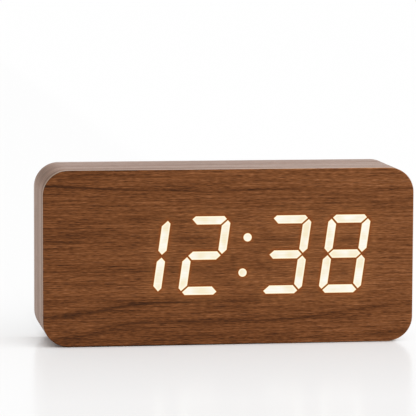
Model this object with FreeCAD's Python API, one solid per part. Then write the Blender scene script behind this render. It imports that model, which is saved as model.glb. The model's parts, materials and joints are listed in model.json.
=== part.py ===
import FreeCAD, Part
import math
import os

# A free-standing LED clock in a walnut-veneered block. Millimetres, +Z up, front towards -Y.
# The origin is under the middle of the block, on the surface that its feet stand on.

# ---- The wooden block ----
body_width = 150.0
body_height = 70.4
body_depth = 40.0
corner_radius = 10.0
edge_round = 0.35
veneer = 0.6
case_wall = 5.4
rim_wall = 2.9
foot_height = 0.3
foot_radius = 4.0
foot_inset_x = 15.0
foot_inset_y = 7.0
corner_block = 8.0

# ---- The figures that shine through the front veneer ----
time_shown = "1238"
digit_width = 17.3
digit_height = 31.7
stroke = 3.4
corner_cut = 2.85
mitre_gap = 0.6
waist_gap = 1.0
slant_deg = 8.0
digit_pitch = 24.2
pair_spacing = 57.1
dot_diameter = 3.45
dot_spacing = 14.2
display_rise = 0.66
glow_web = 0.25

# ---- The display block and its board ----
film_thickness = 0.2
reflector_depth = 7.0
reflector_margin = 3.0
window_gap = 0.3
board_thickness = 1.6
board_end = 5.0
board_edge = 1.6
board_to_wall = 3.27
led_length = 1.6
led_width = 0.8
led_height = 0.8
led_spacing = 5.2

# ---- What the back of the display board carries, with its places from the display's middle ----
controller_place = (-34.0, 6.0)
controller_width = 18.0
controller_depth = 7.5
controller_lead_count = 28
timekeeper_place = (-14.0, 12.0)
timekeeper_width = 5.0
timekeeper_depth = 4.0
timekeeper_lead_count = 8
chip_height = 2.2
lead_thickness = 0.25
lead_pitch = 1.27
lead_reach = 1.4
crystal_place = (-14.0, 4.0)
crystal_radius = 1.0
crystal_length = 6.0
coin_place = (6.0, -4.0)
coin_radius = 10.0
coin_thickness = 3.2
holder_floor = 1.0
holder_wall = 1.6
coin_gap = 0.15
clip_width = 6.0
clip_thickness = 0.4
buzzer_place = (30.0, -8.0)
buzzer_radius = 6.0
buzzer_height = 7.5
capacitor_place = (-46.0, -11.0)
capacitor_pitch = 9.0
capacitor_count = 2
capacitor_radius = 3.15
capacitor_height = 7.7
resistor_place = (-29.0, -12.0)
resistor_count = 8
resistor_length = 2.0
resistor_width = 1.25
resistor_height = 0.6
resistor_pitch = 3.2

# ---- The rear panel, its battery bay and its door ----
panel_recess = 1.2
panel_thickness = 2.0
panel_gap = 0.2
cell_diameter = 10.5
cell_length = 44.5
cell_count = 3
nub_length = 1.0
nub_radius = 1.9
cell_gap = 0.6
cell_side_gap = 0.4
cell_lift_gap = 0.5
contact_thickness = 0.4
contact_size = 7.0
tab_width = 2.0
tab_thickness = 0.5
tab_reach = 1.5
spring_length = 4.6
spring_wire = 0.5
spring_radius = 2.8
spring_turns = 3.25
spring_steps = 12
spring_gap = 0.05
bay_wall = 2.0
bay_ledge = 1.0
bay_to_block = 3.6
bay_rib_height = 2.0
bay_rib_width = 1.2
door_thickness = 1.5
door_gap = 0.25
tongue_width = 6.0
tongue_reach = 1.6
tongue_root = 1.3
tongue_thickness = 1.25
tongue_gap = 0.15
tongue_spread = 30.0
latch_width = 10.0
latch_height = 3.2
latch_nose = 1.0
grip_rib_count = 5
grip_rib_length = 14.0
grip_rib_width = 0.8
grip_rib_height = 0.4
grip_rib_pitch = 1.8

# ---- The buttons, their switches and the power socket ----
button_names = ("set", "up", "down")
button_radius = 3.0
button_proud = 0.9
button_gap = 0.15
button_pitch = 11.0
button_travel = 0.5
button_round = 0.4
flange_radius = 4.0
flange_thickness = 0.8
mark_size = 2.4
mark_width = 0.6
mark_depth = 0.3
plunger_radius = 1.7
plunger_proud = 1.0
plunger_depth = 1.2
plunger_gap = 0.1
switch_size = 6.0
switch_height = 3.5
row_height = 9.0
button_board_height = 14.0
button_board_thickness = 1.2
post_radius = 2.5
post_inset = 2.9
neighbour_gap = 0.4
button_to_socket = 4.0
socket_width = 7.5
socket_height = 2.7
socket_wall = 0.3
socket_gap = 0.3
socket_sunk = 0.6
socket_floor = 1.2
tongue_plate_width = 4.0
tongue_plate_thickness = 0.7
tongue_plate_sunk = 0.8
sound_hole_radius = 0.7
sound_hole_ring = 3.2
sound_hole_count = 6

# ---- Screws and wires ----
screw_radius = 1.25
screw_head_radius = 2.3
screw_head_height = 0.9
screw_gap = 0.05
small_screw_radius = 1.0
small_screw_head_radius = 1.8
small_screw_head_height = 1.2
cross_share = 1.2
cross_width = 0.5
cross_depth = 0.8
panel_screw_length = 12.0
board_screw_length = 6.0
post_screw_length = 4.0
board_screw_inset = 2.5
wire_radius = 0.6
wire_bend = 2.0
red_lead_place = -5.0
ribbon_width = 8.0
ribbon_thickness = 1.0
ribbon_bend = 2.5
plug_height = 3.6
plug_width = 10.0
plug_depth = 4.0
ribbon_step = 12.0

# ---- Planes and sizes that follow from those ----
front_y = -body_depth / 2
rear_y = body_depth / 2
case_front_y = front_y + veneer
reflector_front_y = case_front_y + film_thickness
board_front_y = reflector_front_y + reflector_depth
board_back_y = board_front_y + board_thickness
panel_out_y = rear_y - panel_recess
panel_in_y = panel_out_y - panel_thickness
door_in_y = panel_out_y - door_thickness
bay_floor_y = door_in_y - cell_lift_gap - cell_diameter
bay_front_y = bay_floor_y - bay_wall
cell_y = bay_floor_y + cell_diameter / 2
mid_z = foot_height + body_height / 2
case_width = body_width - 2 * veneer
case_height = body_height - 2 * veneer
case_radius = corner_radius - veneer
cavity_width = case_width - 2 * case_wall
cavity_height = case_height - 2 * case_wall
cavity_radius = case_radius - case_wall
rebate_width = case_width - 2 * rim_wall
rebate_height = case_height - 2 * rim_wall
rebate_radius = case_radius - rim_wall

slope = math.tan(math.radians(slant_deg))
lean = digit_height / 2 * slope
reflector_width = pair_spacing + digit_pitch + digit_width + 2 * lean + 2 * reflector_margin
reflector_height = digit_height + 2 * reflector_margin
board_width = reflector_width + 2 * board_end
board_height = reflector_height + 2 * board_edge
board_right = cavity_width / 2 - board_to_wall
board_left = board_right - board_width
display_x = (board_left + board_right) / 2
display_z = mid_z + display_rise

cell_pitch = cell_diameter + cell_gap
bay_length = 2 * contact_thickness + spring_length + cell_length
bay_height = cell_pitch * (cell_count - 1) + cell_diameter + 2 * cell_side_gap
bay_left = -cavity_width / 2 + corner_block + bay_to_block + bay_wall
bay_right = bay_left + bay_length
bay_x = (bay_left + bay_right) / 2
bay_bottom = mid_z - bay_height / 2
bay_top = mid_z + bay_height / 2
door_bottom = bay_bottom - bay_ledge + door_gap
door_top = bay_top + bay_ledge - door_gap
door_width = bay_length + 2 * bay_ledge - 2 * door_gap
hinge_y = panel_out_y - door_thickness / 2
hinge_z = door_bottom + door_thickness / 2

row_z = mid_z + row_height
end_to_button = post_inset + post_radius + neighbour_gap + flange_radius
end_to_socket = post_inset + post_radius + neighbour_gap + socket_width / 2
last_button_to_socket = flange_radius + button_to_socket + socket_width / 2
button_row = button_pitch * (len(button_names) - 1)
button_board_width = end_to_button + button_row + last_button_to_socket + end_to_socket
button_board_x = (bay_right + bay_wall + cavity_width / 2) / 2
button_board_left = button_board_x - button_board_width / 2
button_board_right = button_board_x + button_board_width / 2
first_button_x = button_board_left + end_to_button
button_x = [first_button_x + button_pitch * index for index in range(len(button_names))]
socket_x = button_board_right - end_to_socket
flange_in_y = panel_in_y - flange_thickness
switch_top_y = flange_in_y - plunger_proud
button_board_back_y = switch_top_y - switch_height
button_board_front_y = button_board_back_y - button_board_thickness
sound_x = display_x + buzzer_place[0]
sound_z = display_z + buzzer_place[1]


# ---- Small makers ----
def vec(x, y, z):
    return FreeCAD.Vector(x, y, z)


def block(x0, x1, y0, y1, z0, z1):
    return Part.makeBox(x1 - x0, y1 - y0, z1 - z0, vec(x0, y0, z0))


def centred_block(x, z, width, height, y0, y1):
    return block(x - width / 2, x + width / 2, y0, y1, z - height / 2, z + height / 2)


def rod(x, z, radius, y0, y1):
    return Part.makeCylinder(radius, y1 - y0, vec(x, y0, z), vec(0, 1, 0))


def rounded_slab(width, height, radius, y0, y1):
    slab = centred_block(0, mid_z, width, height, y0, y1)
    upright = [edge for edge in slab.Edges if abs(edge.tangentAt(0).y) > 0.5]
    return slab.makeFillet(radius, upright)


def prism(outline, y0, y1):
    corners = [vec(x, y0, z) for x, z in outline]
    face = Part.Face(Part.makePolygon(corners + corners[:1]))
    return face.extrude(vec(0, y1 - y0, 0))


def edges_at(shape, y):
    return [edge for edge in shape.Edges
            if abs(edge.BoundBox.YMin - y) < 1e-6 and abs(edge.BoundBox.YMax - y) < 1e-6]


def rounded_path(points, radius):
    # Straight runs joined by tangent arcs of one radius.
    edges = []
    start = points[0]
    for before, corner, after in zip(points, points[1:], points[2:]):
        arriving = (corner - before).normalize()
        leaving = (after - corner).normalize()
        turn = arriving.getAngle(leaving)
        reach = radius * math.tan(turn / 2)
        arc_start = corner - arriving * reach
        arc_end = corner + leaving * reach
        inward = (leaving - arriving).normalize()
        arc_middle = corner + inward * (radius / math.cos(turn / 2) - radius)
        edges.append(Part.LineSegment(start, arc_start).toShape())
        edges.append(Part.Arc(arc_start, arc_middle, arc_end).toShape())
        start = arc_end
    edges.append(Part.LineSegment(start, points[-1]).toShape())
    return Part.Wire(edges)


def screw(x, z, seat_y, away, radius, head_radius, head_height, length):
    # away is +1 when the head is on the +Y side of its seat, -1 when it is on the -Y side.
    axis = vec(0, away, 0)
    seat = vec(x, seat_y, z)
    head = Part.makeCylinder(head_radius, head_height, seat, axis)
    top_y = seat_y + away * head_height
    head = head.makeFillet(head_height / 3, edges_at(head, top_y))
    shank = Part.makeCylinder(radius, length, seat, axis * -1)
    solid = head.fuse(shank).removeSplitter()
    low = min(top_y, top_y - away * cross_depth)
    span = cross_share * head_radius
    for width, height in ((span, cross_width), (cross_width, span)):
        solid = solid.cut(centred_block(x, z, width, height, low, low + cross_depth))
    return solid


# ---- The figures ----
def top_bar():
    half_width = digit_width / 2
    half_height = digit_height / 2
    shift = mitre_gap / math.sqrt(2)
    outer = (half_width - corner_cut, half_height)
    tip = (half_width - (corner_cut + shift) / 2, half_height - (corner_cut - shift) / 2)
    inner = (half_width - stroke - shift, half_height - stroke)
    right = [outer, tip, inner]
    return right + [(-u, v) for u, v in reversed(right)]


def side_bar():
    half_width = digit_width / 2
    half_height = digit_height / 2
    shift = mitre_gap / math.sqrt(2)
    shoulder = (waist_gap + stroke) / 2
    return [
        (half_width - (corner_cut - shift) / 2, half_height - (corner_cut + shift) / 2),
        (half_width, half_height - corner_cut),
        (half_width, shoulder),
        (half_width - stroke / 2, waist_gap / 2),
        (half_width - stroke, shoulder),
        (half_width - stroke, half_height - stroke - shift),
    ]


def middle_bar():
    reach = (digit_width - stroke + waist_gap) / 2 - mitre_gap * math.sqrt(2)
    half = stroke / 2
    right = [(reach - half, half), (reach, 0), (reach - half, -half)]
    return right + [(-u, v) for u, v in reversed(right)]


# Each bar is one of the three shapes, mirrored left-right and up-down by its two signs.
bar_makers = {
    "a": (top_bar, 1, 1),
    "b": (side_bar, 1, 1),
    "c": (side_bar, 1, -1),
    "d": (top_bar, 1, -1),
    "e": (side_bar, -1, -1),
    "f": (side_bar, -1, 1),
    "g": (middle_bar, 1, 1),
}
bars_of_figure = {
    "0": "abcdef", "1": "bc", "2": "abdeg", "3": "abcdg", "4": "bcfg",
    "5": "acdfg", "6": "acdefg", "7": "abc", "8": "abcdefg", "9": "abcdfg",
}


def figure_places():
    half_pair = pair_spacing / 2
    half_pitch = digit_pitch / 2
    return [display_x + side * half_pair + hand * half_pitch
            for side in (-1, 1) for hand in (-1, 1)]


def bar_outline(bar, figure_x):
    maker, flip_u, flip_v = bar_makers[bar]
    places = [(flip_u * u, flip_v * v) for u, v in maker()]
    return [(figure_x + u + v * slope, display_z + v) for u, v in places]


def dot_places():
    rises = (-dot_spacing / 2, dot_spacing / 2)
    return [(display_x + rise * slope, display_z + rise) for rise in rises]


def bars_between(y0, y1, lit_only):
    shapes = []
    for figure, figure_x in zip(time_shown, figure_places()):
        for bar in bar_makers:
            if bar in bars_of_figure[figure] or not lit_only:
                shapes.append(prism(bar_outline(bar, figure_x), y0, y1))
    for x, z in dot_places():
        shapes.append(rod(x, z, dot_diameter / 2, y0, y1))
    return shapes


# ---- The wooden block ----
def case_body():
    case = rounded_slab(case_width, case_height, case_radius, case_front_y, rear_y)
    cavity = rounded_slab(cavity_width, cavity_height, cavity_radius, board_front_y, rear_y)
    rebate = rounded_slab(rebate_width, rebate_height, rebate_radius, panel_in_y, rear_y)
    window = centred_block(display_x, display_z, reflector_width + 2 * window_gap,
                           reflector_height + 2 * window_gap, case_front_y, board_front_y)
    pilots = [rod(x, z, small_screw_radius + screw_gap, board_back_y - board_screw_length, board_front_y)
              for x, z in board_screw_places()]
    return case.cut([cavity, rebate, window] + pilots)


def side_veneer():
    outside = rounded_slab(body_width, body_height, corner_radius, case_front_y, rear_y)
    outside = outside.makeFillet(edge_round, edges_at(outside, rear_y))
    return outside.cut(rounded_slab(case_width, case_height, case_radius, case_front_y, rear_y))


def front_veneer():
    sheet = rounded_slab(body_width, body_height, corner_radius, front_y, case_front_y)
    sheet = sheet.makeFillet(edge_round, edges_at(sheet, front_y))
    pockets = bars_between(front_y + glow_web, case_front_y, False)
    lit = bars_between(front_y, case_front_y, True)
    return sheet.cut(pockets).cut(lit)


def lit_segments():
    return Part.makeCompound(bars_between(front_y, front_y + glow_web, True))


def corner_places():
    reach_x = cavity_width / 2 - corner_block / 2
    reach_z = cavity_height / 2 - corner_block / 2
    return [(hand * reach_x, mid_z + rise * reach_z, hand, rise) for hand in (-1, 1) for rise in (-1, 1)]


def corner_blocks():
    start_y = board_back_y + small_screw_head_height
    cut = cavity_radius
    solids = []
    for x, z, hand, rise in corner_places():
        out_x = hand * corner_block / 2
        out_z = rise * corner_block / 2
        outline = [(x - out_x, z - out_z), (x + out_x, z - out_z), (x + out_x, z + out_z - rise * cut),
                   (x + out_x - hand * cut, z + out_z), (x - out_x, z + out_z)]
        post = prism(outline, start_y, panel_in_y)
        solids.append(post.cut(rod(x, z, screw_radius + screw_gap, start_y, panel_in_y)))
    return Part.makeCompound(solids)


def rubber_feet():
    reach_x = body_width / 2 - foot_inset_x
    reach_y = body_depth / 2 - foot_inset_y
    feet = []
    for x in (-reach_x, reach_x):
        for y in (-reach_y, reach_y):
            feet.append(Part.makeCylinder(foot_radius, foot_height, vec(x, y, 0)))
    return Part.makeCompound(feet)


# ---- The display ----
def diffuser_film():
    return centred_block(display_x, display_z, reflector_width, reflector_height,
                         case_front_y, reflector_front_y)


def segment_reflector():
    body = centred_block(display_x, display_z, reflector_width, reflector_height,
                         reflector_front_y, board_front_y)
    return body.cut(bars_between(reflector_front_y, board_front_y, False))


def led_places():
    half = led_spacing / 2
    column = (digit_width - stroke) / 2
    row = (digit_height - stroke) / 2
    level = [(-half, 0), (half, 0)]
    upright = [(0, -half), (0, half)]
    bars = [(0, row, level), (0, 0, level), (0, -row, level)]
    bars += [(hand * column, rise * row / 2, upright) for hand in (-1, 1) for rise in (-1, 1)]
    places = []
    for figure_x in figure_places():
        for u, v, pair in bars:
            for du, dv in pair:
                places.append((figure_x + u + du + (v + dv) * slope, display_z + v + dv))
    return places + dot_places()


def led_chips():
    return Part.makeCompound([centred_block(x, z, led_length, led_width, board_front_y - led_height,
                                            board_front_y) for x, z in led_places()])


def board_screw_places():
    reach_x = board_width / 2 - board_screw_inset
    reach_z = board_height / 2 - board_screw_inset
    return [(display_x + hand * reach_x, display_z + rise * reach_z) for hand in (-1, 1) for rise in (-1, 1)]


def display_board():
    board = centred_block(display_x, display_z, board_width, board_height, board_front_y, board_back_y)
    return board.cut([rod(x, z, small_screw_radius + screw_gap, board_front_y, board_back_y)
                      for x, z in board_screw_places()])


def display_board_screws():
    return Part.makeCompound([screw(x, z, board_back_y, 1, small_screw_radius, small_screw_head_radius,
                                    small_screw_head_height, board_screw_length - screw_gap)
                              for x, z in board_screw_places()])


# ---- Electronics on the back of the display board ----
def on_board(place):
    return display_x + place[0], display_z + place[1]


def chip_body(place, width, height):
    x, z = on_board(place)
    lift = lead_thickness
    body = centred_block(x, z, width, height, board_back_y + lift, board_back_y + lift + chip_height)
    dimple_x = x + width / 2 - lead_pitch
    top = board_back_y + lift + chip_height
    return body.cut(rod(dimple_x, z, lead_pitch / 3, top - lift, top))


def chip_leads(place, height, count):
    # Each lead leaves the body's long side level, steps down and lies flat on the board.
    x, z = on_board(place)
    shelf_y = lead_thickness + chip_height / 2
    step = lead_reach / 2
    outline = [(0, shelf_y), (step, shelf_y), (step, 0), (lead_reach, 0), (lead_reach, lead_thickness),
               (step + lead_thickness, lead_thickness), (step + lead_thickness, shelf_y + lead_thickness),
               (0, shelf_y + lead_thickness)]
    lead_width = lead_pitch / 3
    first_x = x - lead_pitch * (count / 2 - 1) / 2 - lead_width / 2
    leads = []
    for side in (-1, 1):
        root_z = z + side * height / 2
        for index in range(count // 2):
            left = first_x + lead_pitch * index
            corners = [vec(left, board_back_y + up, root_z + side * out) for out, up in outline]
            face = Part.Face(Part.makePolygon(corners + corners[:1]))
            leads.append(face.extrude(vec(lead_width, 0, 0)))
    return Part.makeCompound(leads)


def quartz_crystal():
    x, z = on_board(crystal_place)
    can = Part.makeCylinder(crystal_radius, crystal_length,
                            vec(x, board_back_y + crystal_radius, z), vec(1, 0, 0))
    return can.makeFillet(crystal_radius / 4, can.Edges[:1])


def backup_cell_holder():
    x, z = on_board(coin_place)
    floor_y = board_back_y + holder_floor
    top_y = floor_y + coin_thickness
    cup = rod(x, z, coin_radius + coin_gap + holder_wall, board_back_y, top_y)
    pocket = rod(x, z, coin_radius + coin_gap, floor_y, top_y)
    thumb = centred_block(x, z - coin_radius, coin_radius, coin_radius, floor_y, top_y)
    return cup.cut([pocket, thumb])


def backup_cell():
    x, z = on_board(coin_place)
    floor_y = board_back_y + holder_floor
    coin = rod(x, z, coin_radius, floor_y, floor_y + coin_thickness)
    return coin.makeFillet(coin_thickness / 8, edges_at(coin, floor_y + coin_thickness))


def backup_cell_clip():
    # A sprung strap over the coin cell, with a leg down each side of the holder to the board.
    x, z = on_board(coin_place)
    inner = coin_radius + coin_gap + holder_wall
    outer = inner + clip_thickness
    top_y = board_back_y + holder_floor + coin_thickness
    strap = centred_block(x, z, 2 * outer, clip_width, top_y, top_y + clip_thickness)
    legs = [block(x + low, x + high, board_back_y, top_y, z - clip_width / 2, z + clip_width / 2)
            for low, high in ((-outer, -inner), (inner, outer))]
    return strap.fuse(legs).removeSplitter()


def buzzer():
    can = rod(sound_x, sound_z, buzzer_radius, board_back_y, board_back_y + buzzer_height)
    mouth = rod(sound_x, sound_z, buzzer_radius / 6, board_back_y + buzzer_height / 2,
                board_back_y + buzzer_height)
    return can.makeFillet(buzzer_radius / 12, edges_at(can, board_back_y + buzzer_height)).cut(mouth)


def capacitors():
    first_x, z = on_board(capacitor_place)
    cans = []
    for index in range(capacitor_count):
        can = rod(first_x + capacitor_pitch * index, z, capacitor_radius, board_back_y,
                  board_back_y + capacitor_height)
        cans.append(can.makeFillet(capacitor_radius / 8, edges_at(can, board_back_y + capacitor_height)))
    return Part.makeCompound(cans)


def resistors():
    first_x, z = on_board(resistor_place)
    return Part.makeCompound([centred_block(first_x + resistor_pitch * index, z, resistor_width,
                                            resistor_length, board_back_y, board_back_y + resistor_height)
                              for index in range(resistor_count)])


# ---- The rear panel and the battery bay ----
def panel_plate():
    return rounded_slab(rebate_width - 2 * panel_gap, rebate_height - 2 * panel_gap,
                        rebate_radius - panel_gap, panel_in_y, panel_out_y)


def bay_shell():
    return block(bay_left - bay_wall, bay_right + bay_wall, bay_front_y, door_in_y,
                 bay_bottom - bay_wall, bay_top + bay_wall)


def bay_hollow():
    inside = block(bay_left, bay_right, bay_floor_y, panel_out_y, bay_bottom, bay_top)
    mouth = block(bay_left - bay_ledge, bay_right + bay_ledge, door_in_y, panel_out_y,
                  bay_bottom - bay_ledge, bay_top + bay_ledge)
    # The lower ledge lies a little deeper, clear of the door's edge as it turns.
    sill = block(bay_left - bay_ledge, bay_right + bay_ledge, door_in_y - tongue_gap, door_in_y,
                 bay_bottom - bay_ledge, hinge_z + door_gap)
    return [inside, mouth, sill]


def bay_ribs():
    ribs = []
    for index in range(cell_count - 1):
        z = cell_z(index) - cell_pitch / 2
        ribs.append(centred_block(bay_x, z, bay_length - 2 * spring_length, bay_rib_width,
                                  bay_floor_y, bay_floor_y + bay_rib_height))
    return ribs


def tongue_places():
    return [bay_x - tongue_spread / 2, bay_x + tongue_spread / 2]


def tongue_slots():
    # Room in the bay's lower wall for the door's tongues over their whole swing.
    tip_y = panel_in_y - tongue_gap - tongue_thickness
    tip_z = door_bottom - tongue_reach
    inner_y = hinge_y - math.hypot(hinge_y - tip_y, hinge_z - tip_z) - door_gap
    width = tongue_width + 2 * door_gap
    slots = []
    for x in tongue_places():
        slots.append(block(x - width / 2, x + width / 2, inner_y, panel_in_y,
                           bay_bottom - bay_wall, bay_bottom))
        slots.append(block(x - width / 2, x + width / 2, inner_y, door_in_y,
                           bay_bottom - bay_ledge, bay_bottom))
    return slots


def latch_notch():
    width = latch_width + 2 * door_gap
    top = bay_top + bay_ledge
    return block(bay_x - width / 2, bay_x + width / 2, panel_in_y, panel_out_y, top, top + latch_height)


def contact_tab_slots():
    slots = []
    for x0, x1, z in contact_tabs():
        slots.append(block(x0, x1, cell_y - tab_thickness / 2 - panel_gap,
                           cell_y + tab_thickness / 2 + panel_gap,
                           z - tab_width / 2 - panel_gap, z + tab_width / 2 + panel_gap))
    return slots


def panel_screw_holes():
    holes = []
    for x, z, hand, rise in corner_places():
        holes.append(rod(x, z, screw_radius + screw_gap, panel_in_y, panel_out_y))
    return holes


def button_holes():
    return [rod(x, row_z, button_radius + button_gap, panel_in_y, panel_out_y) for x in button_x]


def socket_hole():
    return centred_block(socket_x, row_z, socket_width + 2 * socket_gap, socket_height + 2 * socket_gap,
                         panel_in_y, panel_out_y)


def sound_holes():
    holes = [rod(sound_x, sound_z, sound_hole_radius, panel_in_y, panel_out_y)]
    for index in range(sound_hole_count):
        angle = 2 * math.pi * index / sound_hole_count
        holes.append(rod(sound_x + sound_hole_ring * math.cos(angle),
                         sound_z + sound_hole_ring * math.sin(angle),
                         sound_hole_radius, panel_in_y, panel_out_y))
    return holes


def post_places():
    return [button_board_left + post_inset, button_board_right - post_inset]


def panel_posts():
    posts = []
    for x in post_places():
        post = rod(x, row_z, post_radius, button_board_back_y, panel_in_y)
        pilot = rod(x, row_z, small_screw_radius + screw_gap, button_board_back_y,
                    button_board_front_y + post_screw_length)
        posts.append(post.cut(pilot))
    return posts


def back_panel():
    plate = panel_plate().fuse(bay_shell()).removeSplitter()
    holes = bay_hollow() + tongue_slots() + [latch_notch()] + contact_tab_slots()
    holes += panel_screw_holes() + button_holes() + [socket_hole()] + sound_holes()
    return plate.cut(holes).fuse(panel_posts() + bay_ribs()).removeSplitter()


def back_panel_screws():
    return Part.makeCompound([screw(x, z, panel_out_y, 1, screw_radius, screw_head_radius,
                                    screw_head_height, panel_screw_length)
                              for x, z, hand, rise in corner_places()])


def door_plate():
    # Its lower edge is a half round about the hinge axis, so it turns in its place.
    left = bay_x - door_width / 2
    right = bay_x + door_width / 2
    flat = block(left, right, door_in_y, panel_out_y, hinge_z, door_top)
    edge = Part.makeCylinder(door_thickness / 2, right - left, vec(left, hinge_y, hinge_z), vec(1, 0, 0))
    return flat.fuse(edge).removeSplitter()


def battery_door():
    lip_top_y = panel_in_y - tongue_gap
    lip_low_y = lip_top_y - tongue_thickness
    pieces = []
    for x in tongue_places():
        left = x - tongue_width / 2
        right = x + tongue_width / 2
        root_low = door_bottom + door_gap
        root_high = door_bottom + tongue_root
        pieces.append(block(left, right, lip_low_y, hinge_y, root_low, root_high))
        pieces.append(block(left, right, lip_low_y, lip_top_y, door_bottom - tongue_reach, root_high))
    tab_top = door_top + latch_height - door_gap
    left = bay_x - latch_width / 2
    right = bay_x + latch_width / 2
    pieces.append(block(left, right, door_in_y, panel_out_y, door_top, tab_top))
    pieces.append(block(left, right, door_in_y - latch_nose, door_in_y, tab_top - latch_nose, tab_top))
    for index in range(grip_rib_count):
        z = door_top - grip_rib_pitch * (index + 1)
        pieces.append(centred_block(bay_x, z, grip_rib_length, grip_rib_width, panel_out_y,
                                    panel_out_y + grip_rib_height))
    return door_plate().fuse(pieces).removeSplitter()


def cell_z(index):
    return bay_top - cell_side_gap - cell_diameter / 2 - cell_pitch * index


def plus_side(index):
    # The cells lie head to tail, the top one with its nub on the right.
    return 1 if index % 2 == 0 else -1


def battery_cell(index):
    side = plus_side(index)
    nub_x = bay_right - contact_thickness if side > 0 else bay_left + contact_thickness
    z = cell_z(index)
    axis = vec(-side, 0, 0)
    nub = Part.makeCylinder(nub_radius, nub_length, vec(nub_x, cell_y, z), axis)
    can = Part.makeCylinder(cell_diameter / 2, cell_length - nub_length,
                            vec(nub_x - side * nub_length, cell_y, z), axis)
    rims = [edge for edge in can.Edges if abs(edge.BoundBox.XMax - edge.BoundBox.XMin) < 1e-6]
    return can.makeFillet(nub_length / 3, rims).fuse(nub).removeSplitter()


def contact_tabs():
    # Where the two outer contacts pass through the bay's end walls: x from, x to, z.
    last = cell_count - 1
    right = (bay_right - contact_thickness, bay_right + bay_wall + tab_reach, cell_z(0))
    left = (bay_left - bay_wall - tab_reach, bay_left + contact_thickness, cell_z(last))
    return [right, left]


def battery_contacts():
    half = contact_size / 2
    last = cell_count - 1
    plates = []
    for side, first, final in ((1, 0, 0), (1, 1, last), (-1, 0, 1), (-1, last, last)):
        x0 = bay_right - contact_thickness if side > 0 else bay_left
        plates.append(block(x0, x0 + contact_thickness, cell_y - half, cell_y + half,
                            cell_z(final) - half, cell_z(first) + half))
    right_tab, left_tab = [block(x0, x1, cell_y - tab_thickness / 2, cell_y + tab_thickness / 2,
                                 z - tab_width / 2, z + tab_width / 2) for x0, x1, z in contact_tabs()]
    plates[0] = plates[0].fuse(right_tab).removeSplitter()
    plates[3] = plates[3].fuse(left_tab).removeSplitter()
    return Part.makeCompound(plates)


def coil_path(height):
    # A helix in short straight runs, along +X from the origin.
    count = round(spring_turns * spring_steps)
    points = []
    for index in range(count + 1):
        angle = 2 * math.pi * index / spring_steps
        points.append(vec(height * index / count, spring_radius * math.cos(angle),
                          spring_radius * math.sin(angle)))
    return points


def battery_springs():
    # One coil behind the flat end of each cell, between it and its contact.
    points = coil_path(spring_length - spring_wire - 2 * spring_gap)
    ring = Part.Wire(Part.makeCircle(spring_wire / 2, points[0], points[1] - points[0]))
    coil = Part.makePolygon(points).makePipeShell([ring], True, False, 1)
    seat = contact_thickness + spring_gap + spring_wire / 2
    springs = []
    for index in range(cell_count):
        spring = coil.copy()
        if plus_side(index) > 0:
            spring.translate(vec(bay_left + seat, cell_y, cell_z(index)))
        else:
            spring.rotate(vec(0, 0, 0), vec(0, 0, 1), 180)
            spring.translate(vec(bay_right - seat, cell_y, cell_z(index)))
        springs.append(spring)
    return Part.makeCompound(springs)


# ---- Buttons, switches and socket ----
def button_mark(name, x):
    low = panel_out_y + button_proud - mark_depth
    high = panel_out_y + button_proud
    level = centred_block(x, row_z, mark_size, mark_width, low, high)
    upright = centred_block(x, row_z, mark_width, mark_size, low, high)
    marks = {
        "set": [rod(x, row_z, mark_size / 4, low, high)],
        "up": [level, upright],
        "down": [level],
    }
    return marks[name]


def button_cap(name, x):
    cap = rod(x, row_z, button_radius, panel_in_y, panel_out_y + button_proud)
    cap = cap.makeFillet(button_round, edges_at(cap, panel_out_y + button_proud))
    flange = rod(x, row_z, flange_radius, flange_in_y, panel_in_y)
    return cap.fuse(flange).removeSplitter().cut(button_mark(name, x))


def switch_plunger(x):
    return rod(x, row_z, plunger_radius, switch_top_y - plunger_depth, flange_in_y)


def switch_housings():
    housings = []
    for x in button_x:
        box = centred_block(x, row_z, switch_size, switch_size, button_board_back_y, switch_top_y)
        well_floor = switch_top_y - plunger_depth - button_travel - plunger_gap
        well = rod(x, row_z, plunger_radius + plunger_gap, well_floor, switch_top_y)
        housings.append(box.cut(well))
    return Part.makeCompound(housings)


def button_board():
    board = block(button_board_left, button_board_right, button_board_front_y, button_board_back_y,
                  row_z - button_board_height / 2, row_z + button_board_height / 2)
    return board.cut([rod(x, row_z, small_screw_radius + screw_gap, button_board_front_y,
                          button_board_back_y) for x in post_places()])


def button_board_screws():
    return Part.makeCompound([screw(x, row_z, button_board_front_y, -1, small_screw_radius,
                                    small_screw_head_radius, small_screw_head_height,
                                    post_screw_length - screw_gap) for x in post_places()])


def usb_socket():
    mouth_y = panel_out_y - socket_sunk
    shell = centred_block(socket_x, row_z, socket_width, socket_height, button_board_back_y, mouth_y)
    inside = centred_block(socket_x, row_z, socket_width - 2 * socket_wall, socket_height - 2 * socket_wall,
                           button_board_back_y + socket_floor, mouth_y)
    return shell.cut(inside)


def usb_tongue():
    return centred_block(socket_x, row_z, tongue_plate_width, tongue_plate_thickness,
                         button_board_back_y + socket_floor, panel_out_y - socket_sunk - tongue_plate_sunk)


# ---- Wires ----
def ribbon_ends():
    start_x = (button_x[-1] + socket_x) / 2
    return start_x, start_x + ribbon_step


def ribbon_plugs():
    first_x, second_x = ribbon_ends()
    first = centred_block(first_x, row_z, plug_height, plug_width,
                          button_board_front_y - plug_depth, button_board_front_y)
    second = centred_block(second_x, row_z, plug_height, plug_width, board_back_y,
                           board_back_y + plug_depth)
    return Part.makeCompound([first, second])


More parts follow.
